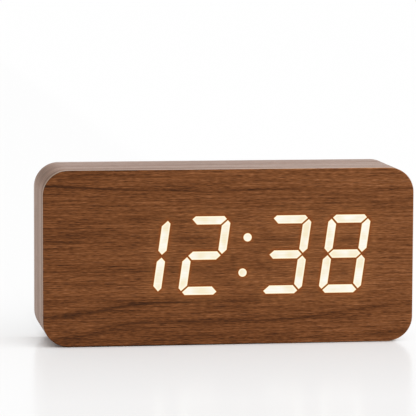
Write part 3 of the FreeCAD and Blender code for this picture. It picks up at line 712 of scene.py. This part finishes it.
# The corners carry a painted shade, and the left side a painted light.
corner_painted_shade = 0.2
left_dullness = 0.27
left_painted_light = 0.22
dull = []
pale = []
for _, _, out_x, out_z, _ in stations:
    hands = (1 if out_x > 0 else -1, 1 if out_z > 0 else -1)
    to_left = min(out_x, 0) ** 2
    in_corner = (2 * out_x * out_z) ** 2
    dullness = in_corner * corner_dullness[hands] + left_dullness * to_left
    light_and_tone = strip_paleness + left_painted_light * to_left - corner_painted_shade * dullness
    dull += [dullness] * len(section)
    pale += [light_and_tone] * len(section)
store(side_strip, "dull", "FLOAT", dull)
store(side_strip, "pale", "FLOAT", pale)
print("the dullest place of the strip:", round(max(dull), 2))

# %% [markdown]
# ## The lit figures
# What shines is the last quarter millimetre of the same veneer with light behind it, so it looks
# cream and still shows faint grain. Each bar has an orange hairline at its edge, where the veneer
# thickens again, then a white ring, and a creamier middle. The CAD solids already have the right
# outlines. Each front only gets an inner ring of faces, and a number that is 0 at the outline and 1
# inside the ring tells the finish how far in a point lies.

# %% The bars and dots
ring_width = 0.75 * mm
flat_within = math.radians(1)
lit = flat_copy("lit_segments")
bmesh.ops.dissolve_limit(lit, angle_limit=flat_within, verts=lit.verts, edges=lit.edges)
fronts = [face for face in lit.faces if is_front(face)]
bmesh.ops.inset_individual(lit, faces=fronts, thickness=ring_width, use_even_offset=True)
core = {corner for face in fronts for corner in face.verts}
core_values = [1.0 if corner in core else 0.0 for corner in lit.verts]
print("lit bars and dots:", len(fronts))

# %% How they shine
edge_light = [(0.0, paint(232, 152, 58)), (0.18, paint(254, 238, 184)), (0.36, paint(253, 251, 236))]
middle_light = (paint(250, 248, 240), paint(241, 228, 191))
middle_from = 0.35
hot_spot_share = 0.65
unlit_wood = [(0.0, paint(58, 48, 36)), (1.0, paint(40, 34, 26))]


def lit_finish():
    material, shader, place = start_finish("lit_veneer", 0.45, specular=0.2)
    grain_lines = spread(material, noise(material, place, (9, 20, 0.5), 2.0), 0.3, 0.7)
    hot_spots = spread(material, noise(material, place, (5, 20, 5), 1.0, 8.3), 0.35, 0.65)
    warmth = mix_values(material, hot_spots, grain_lines, hot_spot_share)
    middle = mix_colours(material, warmth, *middle_light)
    how_far_in = stored_value(material, "core")
    edge = ramp(material, how_far_in, *edge_light)
    inward = spread(material, how_far_in, middle_from, 1.0)
    wire(material, mix_colours(material, inward, edge, middle), shader, "Emission Color")
    wire(material, ramp(material, grain_lines, *unlit_wood), shader, "Base Color")
    shader.inputs["Emission Strength"].default_value = 1.0
    return material


lit_figures = make_piece("lit_figures", lit, [lit_finish()], stands_for=["lit_segments"])
store(lit_figures, "core", "FLOAT", core_values)

# %% [markdown]
# ## Plastics and rubber
# Moulded parts aren't smooth: the mould's skin leaves a fine texture, and thickness makes the gloss
# wander a little. One maker with a few numbers covers them all: the size of the texture's grain, how
# deep it is and how much the tone drifts.

# %% Moulded and pressed materials
drift_patch = 14
least_lift = 0.004
gloss_swing = (-0.05, 0.07)


def moulded(name, colour, roughness, grain, depth, drift):
    material, shader, place = start_finish(name, roughness)
    skin_texture = noise(material, place, (grain, grain, grain), 3.0)
    broad = noise(material, place, (drift_patch, drift_patch, drift_patch), 2.0, 3.0)
    lighter = tuple(min(1.0, value * (1 + drift) + least_lift) for value in colour[:3]) + (1.0,)
    darker = tuple(value * (1 - drift) for value in colour[:3]) + (1.0,)
    both = mix_values(material, skin_texture, broad)
    rougher = [roughness + swing for swing in gloss_swing]
    wire(material, ramp(material, both, (0.35, darker), (0.65, lighter)), shader, "Base Color")
    wire(material, spread(material, both, 0.35, 0.65, *rougher), shader, "Roughness")
    relief(material, shader, skin_texture, depth)
    return material


# For each: its colour, its roughness, how wide and how deep its texture is in mm, and its drift.
moulds = {
    "foot_rubber": (paint(30, 29, 28), 0.85, 0.25, 0.04, 0.12),
    "white_film": (paint(240, 240, 236), 0.7, 0.4, 0.01, 0.03),
    "white_plastic": (paint(236, 235, 230), 0.45, 0.5, 0.01, 0.03),
    "chip_resin": (paint(36, 36, 38), 0.6, 0.12, 0.015, 0.12),
    "black_plastic": (paint(30, 30, 31), 0.5, 0.3, 0.015, 0.12),
    "capacitor_sleeve": (paint(28, 32, 48), 0.3, 1.2, 0.01, 0.12),
    "panel_plastic": (paint(38, 35, 33), 0.55, 0.28, 0.05, 0.12),
    "red_insulation": (paint(170, 24, 20), 0.35, 0.8, 0.01, 0.12),
    "black_insulation": (paint(26, 26, 27), 0.35, 0.8, 0.01, 0.12),
    "button_plastic": (paint(62, 58, 55), 0.42, 0.22, 0.02, 0.12),
}
finishes = {name: moulded(name, *values) for name, values in moulds.items()}
print("moulded finishes:", len(finishes))

# %% [markdown]
# ## Fibreboard
# The body under the veneer is fibreboard. It shows as a narrow tan rim round the back panel: tightly
# packed wood fibres, lying every way in the sheet, with a slightly darker and denser skin.

# %% The bare board
board_colours = [(0.3, paint(122, 92, 66)), (0.55, paint(158, 124, 92)), (0.75, paint(184, 152, 116))]
clump_share = 0.6
board_relief = 0.08


def fibreboard():
    material, shader, place = start_finish("mdf_core", 0.8, specular=0.3)
    clumps = noise(material, place, (2.2, 2.2, 0.8), 4.0)
    hairs = noise(material, place, (0.8, 0.35, 0.2), 2.0, 5.0)
    mixed = mix_values(material, clumps, hairs, clump_share)
    wire(material, ramp(material, mixed, *board_colours), shader, "Base Color")
    relief(material, shader, mixed, board_relief)
    return material


finishes["mdf_core"] = fibreboard()
print("fibreboard ready")

# %% [markdown]
# ## Metals
# The screws, contacts and shells are plated steel. Plating isn't a perfect mirror: it has fine drawn
# lines and faint clouds, so the roughness gets a noise of its own, stretched along the drawing.

# %% Plated and drawn metal
cloud_size = 5
cloud_darkness = 0.8
drawn_depth = 0.004


def plated(name, colour, roughness, lines):
    """lines says how long, wide and deep the drawn lines are, in mm."""
    material, shader, place = start_finish(name, roughness, metallic=1.0)
    drawn = noise(material, place, lines, 3.0)
    clouds = noise(material, place, (cloud_size, cloud_size, cloud_size), 2.0, 6.0)
    both = mix_values(material, drawn, clouds)
    darker = tuple(value * cloud_darkness for value in colour[:3]) + (1.0,)
    wire(material, ramp(material, both, (0.35, darker), (0.6, colour)), shader, "Base Color")
    rough = spread(material, both, 0.35, 0.65, roughness + 0.1, roughness - 0.05)
    wire(material, rough, shader, "Roughness")
    relief(material, shader, drawn, drawn_depth)
    return material


metals = {
    "screw_steel": (paint(176, 174, 170), 0.32, (0.4, 0.4, 0.4)),
    "tinned_metal": (paint(214, 212, 206), 0.28, (6, 0.3, 0.3)),
    "cell_steel": (paint(205, 205, 203), 0.25, (8, 0.2, 0.2)),
}
for name, values in metals.items():
    finishes[name] = plated(name, *values)
print("metals ready:", len(metals))

# %% [markdown]
# ## Boards, LEDs and the ribbon
# A circuit board is glass cloth under a green lacquer, with copper tracks that show as lighter lines.
# A brick pattern gives such tracks, if its mortar is coloured and its bricks aren't, and a fine weave
# shows as relief. A ribbon cable is a row of round wires, so a wave across it gives its ribs.

# %% Circuit boards
track_width = 0.35 * mm
track_length = 7 * mm
track_spacing = 2.5 * mm
weave_size = 0.5
board_depth = 0.02


def circuit_board():
    material, shader, place = start_finish("circuit_board", 0.3)
    upright = add_node(material, "Mapping", {"Vector": place, "Rotation": (math.pi / 2, 0, 0)}).outputs[0]
    tracks = add_node(material, "TexBrick", {
        "Vector": upright, "Color1": black, "Color2": black, "Mortar": white, "Scale": 1.0,
        "Mortar Size": track_width, "Brick Width": track_length, "Row Height": track_spacing})
    track = tracks.outputs["Color"]
    weave = noise(material, place, (weave_size, weave_size, weave_size), 1.0)
    lacquer = ramp(material, track, (0.0, paint(20, 78, 44)), (1.0, paint(44, 116, 66)))
    wire(material, lacquer, shader, "Base Color")
    wire(material, spread(material, weave, 0.3, 0.7, 0.25, 0.4), shader, "Roughness")
    relief(material, shader, calc(material, "ADD", track, weave), board_depth)
    return material


finishes["circuit_board"] = circuit_board()
print("circuit board ready")

# %% LED resin and ribbon cable
resin_glow = 0.6
wire_pitch = 1.0 * mm
rib_depth = 0.2


def led_resin():
    material, shader, place = start_finish("led_resin", 0.35)
    phosphor = noise(material, place, (0.3, 0.3, 0.3), 3.0)
    colour = ramp(material, phosphor, (0.35, paint(236, 205, 96)), (0.65, paint(250, 232, 150)))
    wire(material, colour, shader, "Base Color")
    wire(material, colour, shader, "Emission Color")
    shader.inputs["Emission Strength"].default_value = resin_glow
    return material


def ribbon():
    material, shader, place = start_finish("grey_insulation", 0.5)
    up_the_ribbon = add_node(material, "SeparateXYZ", {"Vector": place}).outputs["Z"]
    ribs = calc(material, "SINE", calc(material, "MULTIPLY", up_the_ribbon, 2 * math.pi / wire_pitch))
    tone = spread(material, calc(material, "ADD", ribs, noise(material, place, (3, 3, 3))), -1, 2)
    grey = ramp(material, tone, (0.0, paint(118, 118, 120)), (1.0, paint(168, 168, 170)))
    wire(material, grey, shader, "Base Color")
    relief(material, shader, tone, rib_depth)
    return material


finishes["led_resin"] = led_resin()
finishes["grey_insulation"] = ribbon()
print("finishes:", len(finishes))

# %% [markdown]
# ## The cells in the battery bay
# They show when the battery door is open. A cell is a steel can in a printed jacket: the jacket is
# rolled over both shoulders, one end has the raised nub, and the other a flat disc inside a groove.
# Such a round thing is drawn as half a profile and spun about its axis.

# %% Spinning a profile
def spin_profile(profile, start, way, segments=56):
    """Turns (distance along, radius) pairs into a closed round body. way is 1 for +X and -1 for -X."""
    body = bmesh.new()
    rings = []
    for along, radius in profile:
        ring = []
        for step in range(segments):
            angle = 2 * math.pi * step / segments
            across_y, across_z = radius * math.cos(angle), radius * math.sin(angle)
            ring.append(body.verts.new((start.x + way * along, start.y + across_y, start.z + across_z)))
        rings.append(ring)
    skin(body, rings)
    return body


print("ready to spin")

# %% A cell's profile and its jacket
# Distances from the flat end, and radii, in mm.
cell_length = 44.5
cell_radius = 5.25
nub_radius = 1.9
pinhole = 0.1
jacket_start = 0.2
jacket_end = 43.3
jacket_lip = 4.45
ring_start = 40.2
ring_end = 42.7
flat_disc = [(0.25, pinhole), (0.25, 3.5), (0.0, 3.7), (0.0, 4.5), (0.12, 4.8)]
flat_shoulder = [(0.3, 5.0), (0.55, 5.17), (0.9, cell_radius)]
white_ring = [(ring_start, cell_radius), (ring_end, cell_radius)]
nub_shoulder = [(43.1, 5.15), (jacket_end, 4.9), (43.25, 4.5), (43.15, 4.4), (43.1, 2.3)]
nub = [(43.2, 1.95), (44.1, nub_radius), (44.4, 1.75), (cell_length, 1.4), (cell_length, pinhole)]
half_cell = flat_disc + flat_shoulder + white_ring + nub_shoulder + nub
profile = [(along * mm, radius * mm) for along, radius in half_cell]
jacket_blues = [(0.3, paint(30, 62, 104)), (0.7, paint(40, 78, 124))]
jacket_texture = 0.008


def jacket_finish():
    material, shader, place = start_finish("cell_jacket", 0.3)
    print_grain = noise(material, place, (0.6, 0.6, 0.6), 2.0)
    wire(material, ramp(material, print_grain, *jacket_blues), shader, "Base Color")
    relief(material, shader, print_grain, jacket_texture)
    return material


finishes["cell_jacket"] = jacket_finish()
print("a cell's profile has", len(profile), "points")

# %% The three cells
cell_finishes = [finishes["cell_jacket"], finishes["cell_steel"], finishes["white_plastic"]]
on_jacket, on_steel, on_ring = range(3)
places_in_bay = ("top", "middle", "bottom")
# The middle cell lies the other way round, so both others end further right, by more than this.
least_shift = 0.1 * mm


def cell_lie(place_name):
    """The middle of a cell's flat end, and 1 or -1 for the way that its nub points along X."""
    low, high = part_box("battery_cell_" + place_name)
    middle_cell_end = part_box("battery_cell_middle")[1].x
    way = 1 if high.x > middle_cell_end + least_shift else -1
    return Vector((low.x if way > 0 else high.x, (low.y + high.y) / 2, (low.z + high.z) / 2)), way


for place_name in places_in_bay:
    flat_end, way = cell_lie(place_name)
    cell = spin_profile(profile, flat_end, way)
    for face in cell.faces:
        along = abs(face.calc_center_median().x - flat_end.x) / mm
        offsets = [corner.co - flat_end for corner in face.verts]
        out = max(math.hypot(offset.y, offset.z) for offset in offsets) / mm
        jacketed = jacket_start < along < jacket_end and out > jacket_lip
        ringed = jacketed and ring_start < along < ring_end
        face.material_index = on_ring if ringed else on_jacket if jacketed else on_steel
    make_piece("cell_" + place_name, cell, cell_finishes,
               stands_for=["battery_cell_" + place_name], sharp_deg=50)

# %% [markdown]
# ## The coil springs
# Behind the flat end of each cell sits a wire spring, wide at its contact and narrower at the cell.
# A helix is worked out point by point as a curve, and the curve's own bevel gives it the wire's
# thickness. It is turned into a mesh at the end.

# %% Winding the springs
wire_radius = 0.25 * mm
coil_wide = 2.8 * mm
coil_narrow = 2.1 * mm
coil_turns = 4
steps_per_turn = 20
even_share = 0.75


def spring_points(start, way, length):
    """The wire's middle line. Its end turns lie a little closer together than the others."""
    count = coil_turns * steps_per_turn
    points = []
    for step in range(count + 1):
        share = step / count
        eased = 0.5 - 0.5 * math.cos(math.pi * share)
        climb = even_share * share + (1 - even_share) * eased
        angle = 2 * math.pi * coil_turns * share
        radius = coil_wide + (coil_narrow - coil_wide) * share
        along = way * (wire_radius + (length - 2 * wire_radius) * climb)
        across_y, across_z = radius * math.cos(angle), radius * math.sin(angle)
        points.append((start.x + along, start.y + across_y, start.z + across_z))
    return points


print("a spring has", coil_turns, "turns")

# %% The three springs
wire_smoothness = 3


def mesh_from_curve(curve_data):
    temporary = bpy.data.objects.new("temporary", curve_data)
    bpy.context.scene.collection.objects.link(temporary)
    shaped = temporary.evaluated_get(bpy.context.evaluated_depsgraph_get())
    mesh = bpy.data.meshes.new_from_object(shaped)
    bpy.data.objects.remove(temporary)
    work = bmesh.new()
    work.from_mesh(mesh)
    return work


coils = bpy.data.curves.new("coils", "CURVE")
coils.dimensions = "3D"
coils.bevel_depth = wire_radius
coils.bevel_resolution = wire_smoothness
coils.use_fill_caps = True
springs_low, springs_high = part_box("battery_springs")
for place_name in places_in_bay:
    flat_end, way = cell_lie(place_name)
    contact_x = springs_low.x if way > 0 else springs_high.x
    start = Vector((contact_x, flat_end.y, flat_end.z))
    route = spring_points(start, way, abs(flat_end.x - contact_x))
    spline = coils.splines.new("POLY")
    spline.points.add(len(route) - 1)
    spline.points.foreach_set("co", [value for point in route for value in (*point, 1.0)])
make_piece("coil_springs", mesh_from_curve(coils), [finishes["tinned_metal"]],
           stands_for=["battery_springs"], sharp_deg=60)

# %% [markdown]
# ## Dressing the CAD parts
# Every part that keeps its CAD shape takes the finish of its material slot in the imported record, so
# the record stays the one place that says what each part is made of.

# %% One finish for each slot
slot_of = {row["node"]: row["material_slot"] for row in frame["record"]["subparts"]}
for name, part in solids.items():
    if slot_of[name] in finishes:
        for slot in part.material_slots:
            slot.material = finishes[slot_of[name]]
print("dressed", sum(slot_of[name] in finishes for name in solids), "parts")

# %% [markdown]
# ## The white room
# The clock stands in a white room, and its soft light comes from all round. The room could be a real
# box with lamps in it, but a world that is one plain white does the same and leaves no speckles. It is
# seen at full strength, by the eye and in every gloss, and lights the clock at half of that. The lamp
# below adds the other half, so a colour comes out about as bright as it was painted.

# %% The room's light
room_light = 0.5
world = bpy.data.worlds.new("white_room")
bpy.context.scene.world = world
world.use_nodes = True


def white_room(world):
    world.node_tree.nodes.clear()
    path = add_node(world, "LightPath")
    seen = calc(world, "MAXIMUM", path.outputs["Is Camera Ray"], path.outputs["Is Glossy Ray"])
    seen = calc(world, "MAXIMUM", seen, path.outputs["Is Transmission Ray"])
    soft = add_node(world, "Background", {"Color": white, "Strength": room_light})
    full = add_node(world, "Background", {"Color": white, "Strength": 1.0})
    both = add_node(world, "MixShader", {0: seen, 1: soft.outputs[0], 2: full.outputs[0]})
    add_node(world, "OutputWorld", {"Surface": both.outputs[0]})


white_room(world)
print("room light", room_light)

# %% [markdown]
# ## The floor
# The floor is a white glossy board, so large that its edge is never seen. Its gloss mirrors the foot
# of the clock, and less so towards the front. A plain white floor would carry a broad grey shade.
# Here the shade is only a narrow one along the foot, so the finish mixes a plain white in over it,
# with the distance from the clock. The white comes in sooner and more fully to the right, where the
# lamp stands.

# %% The board
floor_size = 8.0
half = floor_size / 2
floor_corners = [(-half, -half, 0), (half, -half, 0), (half, half, 0), (-half, half, 0)]
mesh = bpy.data.meshes.new("floor")
mesh.from_pydata(floor_corners, [], [(0, 1, 2, 3)])
floor = bpy.data.objects.new("floor", mesh)
bpy.context.scene.collection.objects.link(floor)
floor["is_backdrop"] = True
print("floor", floor_size, "m wide")

# %% How far a place on the floor is from the clock's foot
foot_half_x = cad_high.x - corner_radius
foot_half_y = cad_high.y
side_stretch = (-40 * mm, 60 * mm)
side_weights = (0.6, 2.0)
depth_weight = 2.0


def away_from_foot(material, x, y, wide):
    """A distance that counts double in front and behind, and more at the right than at the left."""
    beside_x = calc(material, "MAXIMUM", calc(material, "SUBTRACT", wide, foot_half_x), 0.0)
    beside_x = calc(material, "MULTIPLY", beside_x, spread(material, x, *side_stretch, *side_weights))
    beside_y = calc(material, "SUBTRACT", calc(material, "ABSOLUTE", y), foot_half_y)
    beside_y = calc(material, "MULTIPLY", calc(material, "MAXIMUM", beside_y, 0.0), depth_weight)
    squared_y = calc(material, "MULTIPLY", beside_y, beside_y)
    return calc(material, "POWER", calc(material, "MULTIPLY_ADD", beside_x, beside_x, squared_y), 0.5)


print("the foot in mm:", round(2 * foot_half_x / mm, 1), "x", round(2 * foot_half_y / mm, 1))

# %% How much white lifts the shade
contact_shade = 12 * mm
lift_stretch = (foot_half_x - 5 * mm, foot_half_x + 20 * mm)
left_lift = 0.5
right_lift = 0.9
behind_stretch = (8 * mm, 12 * mm)
back_lift = 0.6


def shade_lift(material, x, y):
    """0 along the foot and full a shade's width away. Beside the back half it is lifted at once."""
    wide = calc(material, "ABSOLUTE", x)
    away = away_from_foot(material, x, y, wide)
    side_lift = rise(material, x, *lift_stretch, left_lift, right_lift)
    lift = calc(material, "MULTIPLY", side_lift, rise(material, away, 0.0, contact_shade, 0.0, 1.0))
    behind = rise(material, y, *behind_stretch, 0.0, back_lift)
    past_foot = rise(material, wide, foot_half_x, cad_high.x, 0.0, 1.0)
    return calc(material, "MAXIMUM", lift, calc(material, "MULTIPLY", behind, past_foot))


print("the shade is", round(contact_shade / mm), "mm wide")

# %% The floor's finish
gloss_stretch = (-150 * mm, -20 * mm)
gloss_shares = (0.085, 0.2)
gloss_roughness = 0.17
board_white = (0.96, 0.96, 0.96, 1)


def floor_finish():
    material = bpy.data.materials.new("floor")
    material.use_nodes = True
    material.node_tree.nodes.clear()
    place = add_node(material, "TexCoord").outputs["Object"]
    x, y, _ = add_node(material, "SeparateXYZ", {"Vector": place}).outputs
    path = add_node(material, "LightPath")
    looked_at = calc(material, "MAXIMUM", path.outputs["Is Camera Ray"], path.outputs["Is Glossy Ray"])
    lifted = calc(material, "MULTIPLY", looked_at, shade_lift(material, x, y))
    shine = spread(material, y, *gloss_stretch, *gloss_shares)
    matt = add_node(material, "BsdfDiffuse", {"Color": board_white})
    plain = add_node(material, "Emission", {"Color": white, "Strength": 1.0})
    glossy = add_node(material, "BsdfGlossy", {"Color": white, "Roughness": gloss_roughness})
    pale = add_node(material, "MixShader", {0: lifted, 1: matt.outputs[0], 2: plain.outputs[0]})
    both = add_node(material, "MixShader", {0: shine, 1: pale.outputs[0], 2: glossy.outputs[0]})
    add_node(material, "OutputMaterial", {"Surface": both.outputs[0]})
    return material


mesh.materials.append(floor_finish())
print("the floor mirrors a share of", gloss_shares[1], "near the clock")

# %% [markdown]
# ## The lamp
# One large lamp stands in front, high up and to the right. It lights the front and the top, and
# leaves the left side in shade. A sun with a very wide disc does what a big soft window would do, and
# needs no distance.

# %% A soft sun
def soft_sun(name, turn_deg, height_deg, softness_deg, share):
    """A wide soft sun from turn_deg to the right of the front. Its share is how bright it alone would
    make a white card that faces it."""
    sun = bpy.data.lights.new(name, "SUN")
    sun.energy = share * math.pi
    sun.angle = math.radians(softness_deg)
    holder = bpy.data.objects.new(name, sun)
    bpy.context.scene.collection.objects.link(holder)
    turn, height = math.radians(turn_deg), math.radians(height_deg)
    level = math.cos(height)
    towards = Vector((math.sin(turn) * level, -math.cos(turn) * level, math.sin(height)))
    holder.rotation_mode = "QUATERNION"
    holder.rotation_quaternion = (-towards).to_track_quat("-Z", "Y")
    on_front, on_floor = -share * towards.y, share * towards.z
    print(name, "gives the front", round(on_front, 2), "and the floor", round(on_floor, 2))


soft_sun("key_sun", turn_deg=28, height_deg=58, softness_deg=70, share=0.59)

# %% [markdown]
# ## The camera
# The clock is looked at from a little above and from the left, over a metre away and through a long
# lens, so that its uprights stay nearly parallel. The camera is placed by its own three turns instead
# of being aimed at a point, because each turn can then be set by itself.

# %% Place the camera
eye = Vector((-179.1, -1147.7, 175.8)) * mm
turned_right = math.radians(8.583)
tilted_down = math.radians(6.033)
rolled = math.radians(0.218)
focal_length = 248.6
sensor_width = 36.0

camera = bpy.data.objects.new("camera", bpy.data.cameras.new("camera"))
bpy.context.scene.collection.objects.link(camera)
bpy.context.scene.camera = camera
camera.data.lens = focal_length
camera.data.sensor_width = sensor_width
placed = Matrix.Translation(eye) @ Matrix.Rotation(-turned_right, 4, "Z")
tilted = Matrix.Rotation(math.pi / 2 - tilted_down, 4, "X") @ Matrix.Rotation(rolled, 4, "Z")
camera.matrix_world = placed @ tilted
bpy.context.scene.view_settings.view_transform = "Standard"
print("camera", round((eye - (cad_low + cad_high) / 2).length, 3), "m from the clock's middle")

# %% [markdown]
# ## The last check
# A new mesh may not make the clock larger than its solid parts. So the box of the dressed clock is
# written down beside the box that was measured at the start.

# %% Check the size
low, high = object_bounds()
print("grown by, in mm:", [round((a - b) / mm, 3) for a, b in zip(high - low, cad_high - cad_low)])
